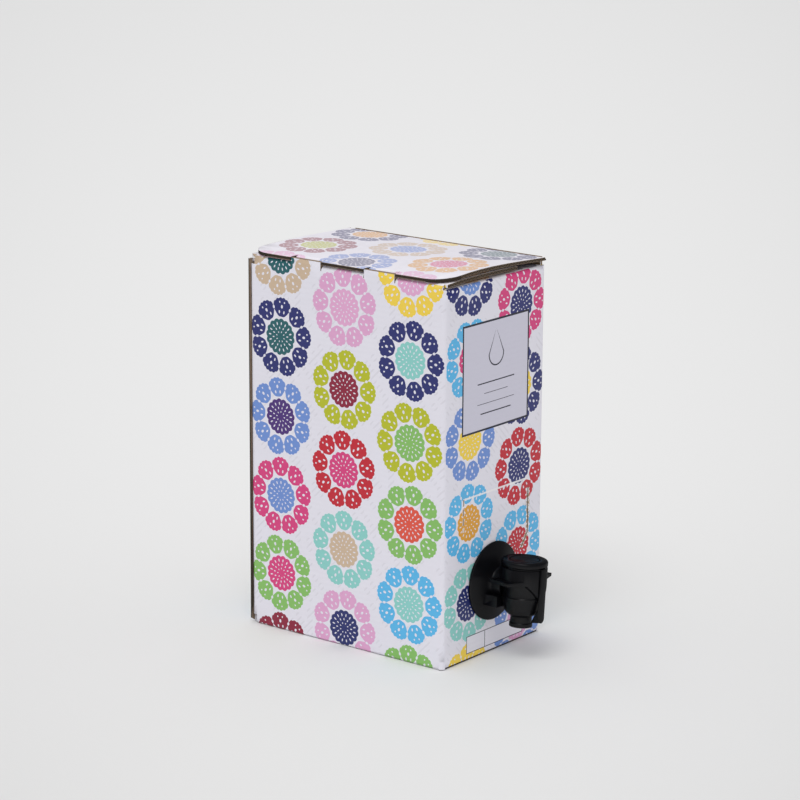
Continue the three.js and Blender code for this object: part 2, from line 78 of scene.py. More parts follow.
MM = 0.001
BODY_LOW, BODY_HIGH = [Vector(c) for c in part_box("carton_body")]
LID_LOW, LID_HIGH = [Vector(c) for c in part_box("carton_lid")]
HALF_X = BODY_HIGH.x
HALF_Y = BODY_HIGH.y
TOP = LID_HIGH.z
BOARD = 1.6 * MM
FOLD = 2.4 * MM
FLAP_GAP = 0.3 * MM
LID_UNDER = TOP - BOARD
INNER_FLAP_TOP = LID_UNDER - FLAP_GAP
MINOR_FLAP_TOP = INNER_FLAP_TOP - BOARD - FLAP_GAP
INNER_FLAP_LENGTH = 58 * MM
TUBE_BASE = BOARD + FLAP_GAP
PANEL_FOOT = 0.35 * MM
TONGUE_CENTRES = (24.4 * MM, -21.3 * MM)
TONGUE_HALF = 9.8 * MM
LID_CORNER = 12 * MM
HINGE_ROUND = 2.6 * MM
SKIN = 0.05 * MM

# How far a point may lie from a plane and still count as on it
NEAR = 0.1 * MM
CLOSE = 0.01 * MM

PALETTE = (
    "57B7EA", "1E2A6B", "DFA02B", "D83C7E", "E3A9D0", "6F8FD2", "4A2A78", "CDB59B",
    "C4172D", "8CCFC9", "F3D24A", "8E1638", "5DBBEA", "232A70", "E0A02F", "86BE63",
    "D2407E", "E0A6CE", "1E5F66", "6E90D4", "B9BE1C", "E0523E",
)
SPECK_GREY = "C9C6CF"
# Near white mixed into the top's print: a painted glare, the sheen of the bright room at a grazing
# angle
TOP_GLARE_WHITE = "FAF6FC"
TORN_PAPER = "F1EFF2"
TORN_KRAFT = "B79A78"
# Film colour in the low parts of the creases: painted shade
FILM_CREASE_SHADE = "B9BCC2"
FILM_LIGHT = "DADCE0"
GLAND_WHITE = "DCDCD4"
ELASTOMER_GREY = "26262A"


def linear(value):
    """One sRGB channel as scene linear."""
    return value / 12.92 if value <= 0.04045 else ((value + 0.055) / 1.055) ** 2.4


def hex_colour(text):
    """A colour written as six hex digits, as linear RGBA."""
    return tuple(linear(int(text[i:i + 2], 16) / 255) for i in (0, 2, 4)) + (1.0,)


class CartonPrintSettings(bpy.types.PropertyGroup):
    """Sizes and colours of the printed board."""

    pitch: bpy.props.FloatProperty(
        name="Flower pitch", description="Distance between flowers in a column",
        default=0.0406, unit="LENGTH",
    )
    rise: bpy.props.FloatProperty(
        name="Print rise", description="Height of the first row of flowers",
        default=0.011, unit="LENGTH",
    )
    ground: bpy.props.FloatVectorProperty(
        name="Ground", description="Pale ground of the print", size=4, subtype="COLOR",
        default=hex_colour("E6E4EE"),
    )
    ink: bpy.props.FloatVectorProperty(
        name="Ink", description="Dark outline of the panel and strip", size=4, subtype="COLOR",
        default=hex_colour("15182F"),
    )
    panel: bpy.props.FloatVectorProperty(
        name="Panel", description="Fill of the framed panel", size=4, subtype="COLOR",
        default=hex_colour("CFCDDC"),
    )
    kraft: bpy.props.FloatVectorProperty(
        name="Kraft", description="Colour of the board's bare inside", size=4, subtype="COLOR",
        default=hex_colour("9F8B78"),
    )
    bulge: bpy.props.FloatProperty(
        name="Bulge", description="How far the long panels stand out in the middle",
        default=0.0007, unit="LENGTH",
    )
    flute: bpy.props.FloatProperty(
        name="Flute pitch", description="Distance between flutes in the board",
        default=0.0027, unit="LENGTH",
    )


class CartonTapSettings(bpy.types.PropertyGroup):
    """Finish of the moulded tap."""

    colour: bpy.props.FloatVectorProperty(
        name="Plastic", description="Colour of the tap's plastic", size=4, subtype="COLOR",
        default=hex_colour("0B0B0E"),
    )
    roughness: bpy.props.FloatProperty(
        name="Roughness", description="Roughness of the tap's plastic", default=0.3, min=0, max=1
    )
    edge: bpy.props.FloatProperty(
        name="Edge rounding", description="Rounding of the moulded edges",
        default=0.00022, unit="LENGTH",
    )


class CartonStageSettings(bpy.types.PropertyGroup):
    """Light, floor and camera."""

    floor: bpy.props.FloatProperty(
        name="Floor", description="Brightness of the floor around the carton",
        default=0.825, min=0, max=1,
    )
    # Painted fall-off of light, darkening the floor's colour towards the picture's corners
    falloff: bpy.props.FloatProperty(
        name="Falloff", description="How much darker the floor is at the picture's corners",
        default=0.02, min=0,
    )
    key: bpy.props.FloatProperty(
        name="Key light", description="Strength of the soft overhead light", default=0.9
    )
    fill: bpy.props.FloatProperty(
        name="Fill", description="Strength of the world's light", default=0.775, min=0
    )
    lens: bpy.props.FloatProperty(
        name="Lens", description="Camera lens in millimetres", default=133.3
    )


class Graph:
    """Adds shader nodes to a tree and links them."""

    def __init__(self, tree):
        self.tree = tree

    def node(self, kind, **settings):
        made = self.tree.nodes.new(kind)
        for key, value in settings.items():
            setattr(made, key, value)
        return made

    def put(self, value, socket):
        if isinstance(value, bpy.types.NodeSocket):
            self.tree.links.new(value, socket)
        else:
            socket.default_value = value

    def math(self, operation, *values):
        made = self.node("ShaderNodeMath", operation=operation)
        for value, socket in zip(values, made.inputs):
            self.put(value, socket)
        return made.outputs[0]

    def add(self, a, b):
        return self.math("ADD", a, b)

    def sub(self, a, b):
        return self.math("SUBTRACT", a, b)

    def mul(self, a, b):
        return self.math("MULTIPLY", a, b)

    def below(self, a, b):
        return self.math("LESS_THAN", a, b)

    def absolute(self, a):
        return self.math("ABSOLUTE", a)

    def sine(self, a):
        return self.math("SINE", a)

    def both(self, *masks):
        result = masks[0]
        for mask in masks[1:]:
            result = self.mul(result, mask)
        return result

    def either(self, *masks):
        result = masks[0]
        for mask in masks[1:]:
            result = self.math("MAXIMUM", result, mask)
        return result

    def mix(self, factor, a, b):
        made = self.node("ShaderNodeMix", data_type="RGBA")
        self.put(factor, made.inputs[0])
        self.put(a, made.inputs[6])
        self.put(b, made.inputs[7])
        return made.outputs[2]

    def vector(self, x, y, z):
        made = self.node("ShaderNodeCombineXYZ")
        for value, socket in zip((x, y, z), made.inputs):
            self.put(value, socket)
        return made.outputs[0]

    def noise(self, vector, scale, detail=2.0, roughness=0.5):
        made = self.node("ShaderNodeTexNoise")
        self.put(vector, made.inputs["Vector"])
        made.inputs["Scale"].default_value = scale
        made.inputs["Detail"].default_value = detail
        made.inputs["Roughness"].default_value = roughness
        return made.outputs["Fac"]

    def chance(self, vector, seed):
        made = self.node("ShaderNodeTexWhiteNoise", noise_dimensions="4D")
        self.put(vector, made.inputs["Vector"])
        made.inputs["W"].default_value = seed
        return made.outputs["Value"]

    def palette(self, factor, colours):
        made = self.node("ShaderNodeValToRGB")
        ramp = made.color_ramp
        ramp.interpolation = "CONSTANT"
        while len(ramp.elements) < len(colours):
            ramp.elements.new(1.0)
        for index, (element, colour) in enumerate(zip(ramp.elements, colours)):
            element.position = index / len(colours)
            element.color = colour
        self.put(factor, made.inputs[0])
        return made.outputs[0]

    def place(self):
        made = self.node("ShaderNodeTexCoord")
        split = self.node("ShaderNodeSeparateXYZ")
        self.put(made.outputs["Object"], split.inputs[0])
        return made.outputs["Object"], split.outputs

    def group(self, tree, **values):
        made = self.node("ShaderNodeGroup", node_tree=tree)
        for key, value in values.items():
            self.put(value, made.inputs[key.replace("_", " ")])
        return made.outputs


def new_group(name, inputs, outputs):
    """A shader node group with named sockets."""
    tree = bpy.data.node_groups.new(name, "ShaderNodeTree")
    for label, kind in inputs:
        tree.interface.new_socket(label, in_out="INPUT", socket_type="NodeSocket" + kind)
    for label, kind in outputs:
        tree.interface.new_socket(label, in_out="OUTPUT", socket_type="NodeSocket" + kind)
    graph = Graph(tree)
    return graph, graph.node("NodeGroupInput").outputs, graph.node("NodeGroupOutput").inputs


def dashes(g, angle, radius, count, at, half_angle, half_radius, shift):
    """Mask of oval dashes standing round a circle."""
    turn = g.add(g.mul(angle, count / math.tau), shift)
    off = g.sub(g.math("FRACT", turn), 0.5)
    across = g.math("DIVIDE", off, half_angle)
    along = g.math("DIVIDE", g.sub(radius, at), half_radius)
    return g.below(g.add(g.mul(across, across), g.mul(along, along)), 1.0)


# A flower, in parts of the pitch between flowers
PETALS = 9
PETAL_REACH = 0.375
LOBE_DEPTH = 0.105
SCALLOP_DEPTH = 0.012
STAR_RADIUS = 0.25
STAR_DEPTH = 0.1
HEART_RADIUS = 0.21
HEART_WAVE = 0.018
# Rings of holes: how many, ring radius, half width in turns, half height and shift
HOLE_RINGS = (
    (27, 0.31, 0.15, 0.02, 0.0),
    (18, 0.375, 0.12, 0.022, 0.5),
    (16, 0.165, 0.13, 0.02, 0.0),
    (12, 0.11, 0.13, 0.015, 0.5),
    (8, 0.06, 0.14, 0.011, 0.0),
)
CROWN_RING = (36, 0.432, 0.13, 0.012, 0.0)
CROWN_PETAL = 0.55
# Faint strokes in the ground, as how many across a flower, share drawn, half width and tone
STROKES = 11.0
STROKE_SHARE = 0.3
STROKE_HALF = 0.16
STROKE_TONE = 0.3
TURN_SEED, STROKE_SEED, PETAL_SEED, HEART_SEED = 5.3, 3.0, 4.2, 12.6


def flower_group():
    """Flowers in half-drop columns, each with its own petal and heart colours."""
    g, given, out = new_group(
        "Flower print",
        (("U", "Float"), ("V", "Float"), ("Side", "Float"), ("Ground", "Color")),
        (("Color", "Color"),),
    )
    u, v, side, ground = given["U"], given["V"], given["Side"], given["Ground"]
    column = g.math("FLOOR", u)
    drop = g.mul(g.math("FLOORED_MODULO", column, 2.0), 0.5)
    dropped = g.add(v, drop)
    row = g.math("FLOOR", dropped)
    x = g.sub(g.math("FRACT", u), 0.5)
    y = g.sub(g.math("FRACT", dropped), 0.5)
    radius = g.math("SQRT", g.add(g.mul(x, x), g.mul(y, y)))
    cell = g.vector(column, row, side)
    angle = g.add(g.math("ARCTAN2", y, x), g.add(math.pi, g.mul(g.chance(cell, TURN_SEED), 0.5)))
    petal = g.absolute(g.math("COSINE", g.mul(angle, PETALS / 2)))
    lobe = g.math("POWER", petal, 0.45)
    scallop = g.mul(g.absolute(g.sine(g.mul(angle, 3.0 * PETALS))), SCALLOP_DEPTH)
    reach = g.add(g.add(g.mul(lobe, LOBE_DEPTH), PETAL_REACH), scallop)
    star = g.add(g.mul(g.math("POWER", g.sub(1.0, petal), 2.0), STAR_DEPTH), STAR_RADIUS)
    petals = g.both(g.below(radius, reach), g.below(star, radius))
    heart_edge = g.add(g.mul(g.absolute(g.sine(g.mul(angle, 8.0))), HEART_WAVE), HEART_RADIUS)
    heart = g.below(radius, heart_edge)
    crown = g.both(dashes(g, angle, radius, *CROWN_RING), g.below(CROWN_PETAL, petal))
    holes = g.either(crown, *[dashes(g, angle, radius, *ring) for ring in HOLE_RINGS])
    solid = g.sub(1.0, holes)
    colours = [hex_colour(text) for text in PALETTE]
    petal_colour = g.palette(g.chance(cell, PETAL_SEED), colours)
    heart_colour = g.palette(g.chance(cell, HEART_SEED), colours)
    patch = g.vector(*[g.math("FLOOR", g.mul(w, STROKES)) for w in (u, v)], side)
    chosen = g.below(g.chance(patch, STROKE_SEED), STROKE_SHARE)
    slant = g.sub(g.math("FRACT", g.mul(g.add(u, v), STROKES)), 0.5)
    stroke = g.both(chosen, g.below(g.absolute(slant), STROKE_HALF))
    faint = g.mix(g.mul(stroke, STROKE_TONE), ground, hex_colour(SPECK_GREY))
    flowered = g.mix(g.both(petals, solid), faint, petal_colour)
    g.put(g.mix(g.both(heart, solid), flowered, heart_colour), out["Color"])
    return g.tree


def paper_group():
    """Tone and height of coated paper glued over flutes."""
    g, given, out = new_group(
        "Board surface",
        (("Across", "Float"), ("Place", "Vector"), ("Flute", "Float")),
        (("Tone", "Float"), ("Height", "Float"), ("Roughness", "Float")),
    )
    wave = g.sine(g.math("DIVIDE", g.mul(given["Across"], math.tau), given["Flute"]))
    mottle = g.noise(given["Place"], 260.0, 3.0)
    cloud = g.noise(given["Place"], 22.0, 2.0)
    fibre = g.noise(given["Place"], 2600.0, 2.0)
    g.put(g.add(0.965, g.add(g.mul(mottle, 0.03), g.mul(cloud, 0.04))), out["Tone"])
    height = g.add(g.mul(wave, 0.35), g.add(g.mul(cloud, 1.2), g.mul(fibre, 0.12)))
    g.put(height, out["Height"])
    g.put(g.add(0.36, g.add(g.mul(mottle, 0.1), g.mul(cloud, 0.06))), out["Roughness"])
    return g.tree


def material(name):
    """A new material, the graph of its nodes, and its shader."""
    made = bpy.data.materials.new(name)
    made.use_nodes = True
    graph = Graph(made.node_tree)
    shader = made.node_tree.nodes["Principled BSDF"]
    return made, graph, shader


def bump(g, height, strength, distance, shader):
    """Raises a finish by a height that changes over the surface."""
    made = g.node("ShaderNodeBump")
    made.inputs["Strength"].default_value = strength
    made.inputs["Distance"].default_value = distance
    g.put(height, made.inputs["Height"])
    g.put(made.outputs[0], shader.inputs["Normal"])


def rectangle(g, u, v, low, high):
    """Mask of a rectangle between two corners."""
    middle = [(a + b) / 2 for a, b in zip(low, high)]
    half = [(b - a) / 2 for a, b in zip(low, high)]
    inside = [g.below(g.absolute(g.sub(w, m)), h) for w, m, h in zip((u, v), middle, half)]
    return g.both(*inside)


def grown(corner, amount):
    """A corner of a rectangle, moved in or out by the same amount both ways."""
    return tuple(value + amount for value in corner)


# Framed panel and strip of the front, as X and Z
PANEL = ((-0.0268, 0.1142), (0.0268, 0.1684))
PANEL_LINE = 0.001
STRIP = ((-0.0212, 0.0034), (0.0252, 0.0124))
STRIP_LINE = 0.0004
STRIP_DIVIDER = -0.0064
DROP_CENTRE = (0.0, 0.1512)
DROP_RADIUS = 0.0062
DROP_LINE = 0.0007
# Rules under the drop, as half length, height and weight
RULES = (
    (0.0148, 0.1375, 0.0006),
    (0.0095, 0.1325, 0.0003),
    (0.0148, 0.1275, 0.0003),
    (0.0122, 0.1225, 0.0006),
)


def front_panels(g, x, z, base, settings):
    """Draws the framed panel, with a plain drop and rules, and the small strip over the print."""
    frame_mask = rectangle(g, x, z, *PANEL)
    inner = rectangle(g, x, z, grown(PANEL[0], PANEL_LINE), grown(PANEL[1], -PANEL_LINE))
    strip_mask = rectangle(g, x, z, *STRIP)
    strip_inner = rectangle(g, x, z, grown(STRIP[0], STRIP_LINE), grown(STRIP[1], -STRIP_LINE))
    foot, head = STRIP[0][1], STRIP[1][1]
    divider = rectangle(g, x, z, (STRIP_DIVIDER, foot), (STRIP_DIVIDER + STRIP_LINE, head))
    rules = [
        rectangle(g, x, z, (-half, height), (half, height + weight))
        for half, height, weight in RULES
    ]
    dx = g.sub(x, DROP_CENTRE[0])
    dz = g.sub(z, DROP_CENTRE[1])
    taper = g.sub(1.0, g.math("MAXIMUM", 0.0, g.mul(dz, 1 / (2 * DROP_RADIUS))))
    wide = g.math("DIVIDE", dx, g.math("MAXIMUM", taper, 0.02))
    under = g.math("MINIMUM", dz, 0.0)
    away = g.math("SQRT", g.add(g.mul(wide, wide), g.mul(under, under)))
    cap = g.below(dz, 2 * DROP_RADIUS)
    ring = g.both(g.below(away, DROP_RADIUS), cap, g.below(DROP_RADIUS - DROP_LINE, away))
    colour = g.mix(g.either(frame_mask, strip_mask), base, tuple(settings.ink))
    colour = g.mix(inner, colour, tuple(settings.panel))
    colour = g.mix(strip_inner, colour, tuple(settings.ground))
    return g.mix(g.either(divider, ring, *rules), colour, tuple(settings.ink))


# Door around the tap, in X and Z
CREASE = ((-0.0249, 0.0821), (0.0267, 0.0831))
PERFORATION_X = -0.0246
PERFORATION_Z = (0.0662, 0.0828)
PERFORATION_PITCH = 0.0048
PERFORATION_CUT = 0.72
PERFORATION_TEAR = 0.0008
SLIT_TEAR = 0.0013
SLIT = ((0.0283, 0.0776), (0.0283, 0.055), (0.0231, 0.0476))


def torn_line(g, x, z, start, end, ragged, half):
    """Mask of a torn line between two points of the front."""
    run = Vector((end[0] - start[0], end[1] - start[1]))
    length = run.length
    run.normalize()
    dx = g.sub(x, start[0])
    dz = g.sub(z, start[1])
    along = g.add(g.mul(dx, run.x), g.mul(dz, run.y))
    across = g.sub(g.mul(dx, run.y), g.mul(dz, run.x))
    width = g.add(g.mul(ragged, 2 * half), 0.2 * half)
    between = g.below(g.absolute(g.sub(along, length / 2)), length / 2)
    return g.both(g.below(g.absolute(across), width), between)


def door_marks(g, place, x, z, base):
    """Cracked paper along the door's crease, its perforation and its slit."""
    ragged = g.math("POWER", g.noise(place, 1300.0, 2.0, 0.7), 1.6)
    tone = g.noise(place, 700.0, 2.0)
    pale = hex_colour(TORN_PAPER)
    brown = hex_colour(TORN_KRAFT)
    crease = g.both(rectangle(g, x, z, *CREASE), g.below(0.26, g.noise(place, 420.0, 3.0)))
    low, high = PERFORATION_Z
    step = g.math("DIVIDE", g.sub(high, z), PERFORATION_PITCH)
    dashed = g.below(g.math("FRACT", step), PERFORATION_CUT)
    ends = (PERFORATION_X, low), (PERFORATION_X, high)
    perforation = g.both(torn_line(g, x, z, *ends, ragged, PERFORATION_TEAR), dashed)
    slit = g.either(*[torn_line(g, x, z, a, b, ragged, SLIT_TEAR) for a, b in zip(SLIT, SLIT[1:])])
    colour = g.mix(g.mul(crease, 0.85), base, pale)
    colour = g.mix(perforation, colour, g.mix(tone, brown, pale))
    return g.mix(slit, colour, g.mix(g.below(0.5, tone), brown, pale))


def print_material(name, axes, side, settings, shift=0.5, panels=False, glare_share=0.0, gloss=0.5):
    """Printed board for a face that runs along two object axes."""
    made, g, shader = material(name)
    place, split = g.place()
    u = g.add(g.math("DIVIDE", split[axes[0]], settings.pitch), shift)
    v = g.math("DIVIDE", g.add(split[axes[1]], settings.rise), settings.pitch)
    groups = bpy.data.node_groups
    flowers = g.group(groups["Flower print"], U=u, V=v, Side=side, Ground=tuple(settings.ground))
    paper = g.group(
        groups["Board surface"], Across=split[axes[1]], Place=place, Flute=settings.flute
    )
    colour = flowers["Color"]
    if panels:
        colour = front_panels(g, split[0], split[2], colour, settings)
        colour = door_marks(g, place, split[0], split[2], colour)
    # Painted glare: the top's print is mixed towards near white, standing in for the sheen that
    # washes its colours out
    if glare_share:
        colour = g.mix(glare_share, colour, hex_colour(TOP_GLARE_WHITE))
    toned = g.node("ShaderNodeMix", data_type="RGBA", blend_type="MULTIPLY")
    toned.inputs[0].default_value = 1.0
    g.put(colour, toned.inputs[6])
    g.put(g.vector(paper["Tone"], paper["Tone"], paper["Tone"]), toned.inputs[7])
    g.put(toned.outputs[2], shader.inputs["Base Color"])
    g.put(paper["Roughness"], shader.inputs["Roughness"])
    shader.inputs["Specular IOR Level"].default_value = gloss
    bump(g, paper["Height"], 0.35, 0.00012, shader)
    return made


def kraft_material(name, settings, darkness):
    """Bare brown board, with fibres and flute shadow. Darkness scales its colour; on the cut edges
    it is low, as painted shade in the hollows between the flutes.
    """
    made, g, shader = material(name)
    place, split = g.place()
    fibre = g.noise(place, 900.0, 4.0, 0.65)
    flute = g.sine(g.mul(split[1], math.tau / settings.flute))
    light, dark = [
        tuple(c * darkness * share for c in tuple(settings.kraft)[:3]) + (1.0,)
        for share in (1.0, 0.6)
    ]
    g.put(g.mix(fibre, light, dark), shader.inputs["Base Color"])
    g.put(g.add(0.75, g.mul(fibre, 0.2)), shader.inputs["Roughness"])
    shader.inputs["Specular IOR Level"].default_value = 0.2
    bump(g, g.add(fibre, g.mul(flute, 0.25)), 0.5, 0.0002, shader)
    return made


def plastic_material(name, colour, roughness, grain, sheen=0.5):
    """Moulded plastic with a faint spark-eroded grain and handling marks."""
    made, g, shader = material(name)
    place, _ = g.place()
    fine = g.noise(place, grain, 2.0)
    smear = g.noise(place, 120.0, 3.0)
    lighter = tuple(c * 1.4 + 0.0008 for c in tuple(colour)[:3]) + (1.0,)
    g.put(g.mix(g.mul(smear, 0.5), tuple(colour), lighter), shader.inputs["Base Color"])
    g.put(g.add(roughness - 0.06, g.mul(smear, 0.14)), shader.inputs["Roughness"])
    facing = g.node("ShaderNodeLayerWeight").outputs["Facing"]
    level = g.mul(sheen, g.math("POWER", g.sub(1.0, facing), 2.0))
    g.put(level, shader.inputs["Specular IOR Level"])
    bump(g, g.add(fine, g.mul(smear, 0.6)), 0.18, 0.00008, shader)
    return made


def film_material(name):
    """Silvery barrier film with soft creases, painted darker in the creases' hollows as painted
    shade.
    """
    made, g, shader = material(name)
    place, _ = g.place()
    crease = g.noise(place, 85.0, 5.0, 0.6)
    fine = g.noise(place, 420.0, 3.0)
    # Painted shade: the film's colour is darker where the crease bump is low
    g.put(g.mix(crease, hex_colour(FILM_CREASE_SHADE), hex_colour(FILM_LIGHT)), shader.inputs["Base Color"])
    g.put(g.add(0.2, g.mul(fine, 0.15)), shader.inputs["Roughness"])
    shader.inputs["Metallic"].default_value = 0.75
    bump(g, g.add(crease, g.mul(fine, 0.3)), 0.6, 0.0012, shader)
    return made


def deselect_all():
    """Leaves nothing selected, the CAD nodes neither."""
    for other in bpy.context.view_layer.objects:
        other.select_set(False)


def only(obj):
    """Selects one object and makes it active."""
    deselect_all()
    obj.hide_viewport = False
    obj.select_set(True)
    bpy.context.view_layer.objects.active = obj


def copy_of(node, name):
    """A merged copy of a CAD node's mesh as a new piece."""
    source = frame["nodes"][node]
    piece = bpy.data.objects.new(name, source.data.copy())
    piece.data.materials.clear()
    bpy.context.scene.collection.objects.link(piece)
    only(piece)
    bpy.ops.object.mode_set(mode="EDIT")
    bpy.ops.mesh.select_all(action="SELECT")
    bpy.ops.mesh.remove_doubles(threshold=0.002 * MM)
    bpy.ops.object.mode_set(mode="OBJECT")
    return piece


def slice_grid(piece, step):
    """Cuts a piece by planes across X, Y and Z, so that its walls can bend."""
    corners = [Vector(c) for c in piece.bound_box]
    low = Vector([min(c[i] for c in corners) for i in range(3)])
    high = Vector([max(c[i] for c in corners) for i in range(3)])
    bpy.ops.object.mode_set(mode="EDIT")
    for axis in range(3):
        count = int((high[axis] - low[axis]) / step)
        for k in range(1, count):
            spot = low.copy()
            spot[axis] = low[axis] + (high[axis] - low[axis]) * k / count
            normal = Vector((0, 0, 0))
            normal[axis] = 1.0
            bpy.ops.mesh.select_all(action="SELECT")
            bpy.ops.mesh.bisect(plane_co=spot, plane_no=normal)
    bpy.ops.object.mode_set(mode="OBJECT")


def slice_at(piece, x):
    """Cuts a piece by one plane across X."""
    only(piece)
    bpy.ops.object.mode_set(mode="EDIT")
    bpy.ops.mesh.select_all(action="SELECT")
    bpy.ops.mesh.bisect(plane_co=(x, 0, 0), plane_no=(1, 0, 0))
    bpy.ops.object.mode_set(mode="OBJECT")


def hump(value, low, high):
    """0 at both ends and 1 in the middle, with soft ends."""
    t = (value - low) / (high - low)
    if t <= 0 or t >= 1:
        return 0.0
    return math.sin(math.pi * t) ** 1.3


def ripple(co, scale, seed):
    """Smooth noise at a point, from about -1 to 1."""
    return noise.noise(Vector((co.x * scale + seed, co.y * scale - seed, co.z * scale)))


# Give of the board: how sharp the folds are, how the top bows and how the walls stand out
SHARPNESS = 5.0
RAW_EDGE_OUT = 1.0 * MM
LID_BOW = 2.2 * MM
LID_WAVER = 0.25 * MM
FLAP_BOW = 1.3 * MM
BOW_START = 2.5 * MM
BOW_REACH = 55 * MM
HINGE_DROP = 1.1 * MM
HINGE_DRAW = 0.15 * MM
SLIT_CLOSING = 0.95 * MM
BULGE_TOP = TOP - 4 * MM
DOOR_TOP = 85 * MM
BACK_SHARE = 0.6
FRONT_SHARE = 0.5
WALL = 2.2 * BOARD


def squared(off, power):
    """How far a point on a round fold moves out when the fold is pressed sharp."""
    size = off.length
    if size < 1e-7:
        return 1.0
    a, b = abs(off.x) / size, abs(off.y) / size
    return (a ** power + b ** power) ** (-1 / power)


def front_bow(x, y, rise):
    """Lift of the top's front end, which bows up between its corners."""
    t = min(1.0, max(0.0, (x + HALF_X + BOW_START) / (2 * HALF_X)))
    end = min(1.0, max(0.0, (-y - HALF_Y + BOW_REACH) / BOW_REACH))
    return rise * math.sin(math.pi * t ** 0.75) * (0.5 + 0.5 * end * end * (3 - 2 * end))


def sharp_folds(co):
    """Presses the folds round the base sharp, and draws the end panels down to the floor."""
    moved = co.copy()
    ax, ay = abs(co.x), abs(co.y)
    if ax > HALF_X - FOLD and co.z < FOLD:
        off = Vector((ax - HALF_X + FOLD, co.z - FOLD))
        scale = squared(off, SHARPNESS)
        moved.x = math.copysign(HALF_X - FOLD + off.x * scale, co.x)
        moved.z = FOLD + off.y * scale
    low_fold = ay > HALF_Y - FOLD - CLOSE and TUBE_BASE - CLOSE < co.z < TUBE_BASE + FOLD
    if low_fold and ax < HALF_X - FOLD + CLOSE:
        off = Vector((ay - HALF_Y + FOLD, co.z - TUBE_BASE - FOLD))
        scale = squared(off, SHARPNESS)
        stretch = (TUBE_BASE + FOLD - PANEL_FOOT) / FOLD
        moved.y = math.copysign(min(HALF_Y, HALF_Y - FOLD + off.x * scale), co.y)
        moved.z = max(PANEL_FOOT, TUBE_BASE + FOLD + off.y * scale * stretch)
    if co.x < -HALF_X + FOLD + CLOSE and HALF_Y - BOARD - FOLD < co.y < HALF_Y - BOARD + CLOSE:
        moved.y += RAW_EDGE_OUT * (co.y - HALF_Y + BOARD + FOLD) / FOLD
    return moved


def lid_shape(co):
    """Bows the lid up, rounds it over its hinge, and closes the slits beside its lock tabs."""
    moved = co.copy()
    slot = -HALF_X + BOARD + MM
    if slot - NEAR < co.x < slot + FOLD + NEAR:
        for centre in TONGUE_CENTRES:
            if abs(abs(co.y - centre) - TONGUE_HALF) < 0.05 * MM:
                moved.y = centre + math.copysign(TONGUE_HALF - SLIT_CLOSING, co.y - centre)
    if co.z > LID_UNDER - NEAR:
        moved.z += front_bow(co.x, co.y, LID_BOW + LID_WAVER * ripple(co, 25.0, 8.0))
    over = (co.x - HALF_X + HINGE_ROUND) / HINGE_ROUND
    if over > 0 and co.z > TOP - NEAR:
        moved.z -= HINGE_DROP * over ** 2.5
        moved.x -= HINGE_DRAW * over
    return moved


def bulged(co, bulge):
    """Where a point of the board goes when the bag presses the walls out."""
    moved = sharp_folds(co)
    along_y = hump(co.y, -HALF_Y, HALF_Y)
    along_x = hump(co.x, -HALF_X, HALF_X)
    up = hump(co.z, 0.0, BULGE_TOP)
    wave = 1.0 + 0.5 * ripple(co, 22.0, 3.0)
    if abs(co.x) > HALF_X - WALL:
        moved.x += math.copysign(bulge * along_y * up * wave, co.x)
    if co.y > HALF_Y - WALL:
        moved.y += BACK_SHARE * bulge * along_x * up * wave
    if co.y < -HALF_Y + WALL:
        moved.y -= FRONT_SHARE * bulge * along_x * hump(co.z, DOOR_TOP, BULGE_TOP) * wave
    if co.z > MINOR_FLAP_TOP + NEAR and abs(co.x) < HALF_X - BOARD:
        moved.z += front_bow(co.x, co.y, FLAP_BOW)
    return moved


def outer_face(centre, normal):
    """Name of the printed side that a face of the carton belongs to, or raw or inside."""
    upright = 1.7 * MM < centre.z < MINOR_FLAP_TOP
    if centre.x < -HALF_X + CLOSE and centre.y > HALF_Y - BOARD and centre.z < MINOR_FLAP_TOP:
        return "raw"
    if normal.x < -0.2 and centre.x < -HALF_X + FOLD:
        return "side"
    if normal.x > 0.5 and centre.x > HALF_X - FOLD:
        return "side"
    if normal.y < -0.5 and centre.y < -HALF_Y + FOLD and upright:
        return "front"
    if normal.y > 0.5 and centre.y > HALF_Y - FOLD and upright:
        return "back"
    if normal.z > 0.5 and centre.z > MINOR_FLAP_TOP - 1.5 * MM:
        return "top"
    if normal.z < -0.5 and centre.z < FOLD:
        return "base"
    return "inside"


FINISHES = {
    "side": "Printed side",
    "front": "Printed front",
    "back": "Printed back",
    "top": "Printed top",
    "base": "Printed base",
    "raw": "Cut board edge",
    "inside": "Kraft inside",
}
SIDES = tuple(FINISHES)


def board_materials(settings):
    """The board's finishes, made once, in the order of SIDES."""
    if FINISHES["side"] not in bpy.data.materials:
        flower_group()
        paper_group()
        print_material(FINISHES["side"], (1, 2), 1.0, settings)
        print_material(FINISHES["front"], (0, 2), 2.0, settings, shift=0.0, panels=True)
        print_material(FINISHES["back"], (0, 2), 3.0, settings, shift=0.0)
        # The top carries a painted glare of near white over its print
        print_material(FINISHES["top"], (1, 0), 4.0, settings, glare_share=0.4, gloss=0.12)
        print_material(FINISHES["base"], (1, 0), 5.0, settings)
        # Cut edges at 0.14 of the kraft colour: painted shade in the hollows between the flutes
        kraft_material(FINISHES["raw"], settings, 0.14)
        kraft_material(FINISHES["inside"], settings, 0.95)
    return [bpy.data.materials[name] for name in FINISHES.values()]


def paint_board(piece, choose, settings):
    """Gives each face of a piece the finish that choose names for it."""
    for made in board_materials(settings):
        piece.data.materials.append(made)
    for face in piece.data.polygons:
        face.material_index = SIDES.index(choose(face.center, face.normal))


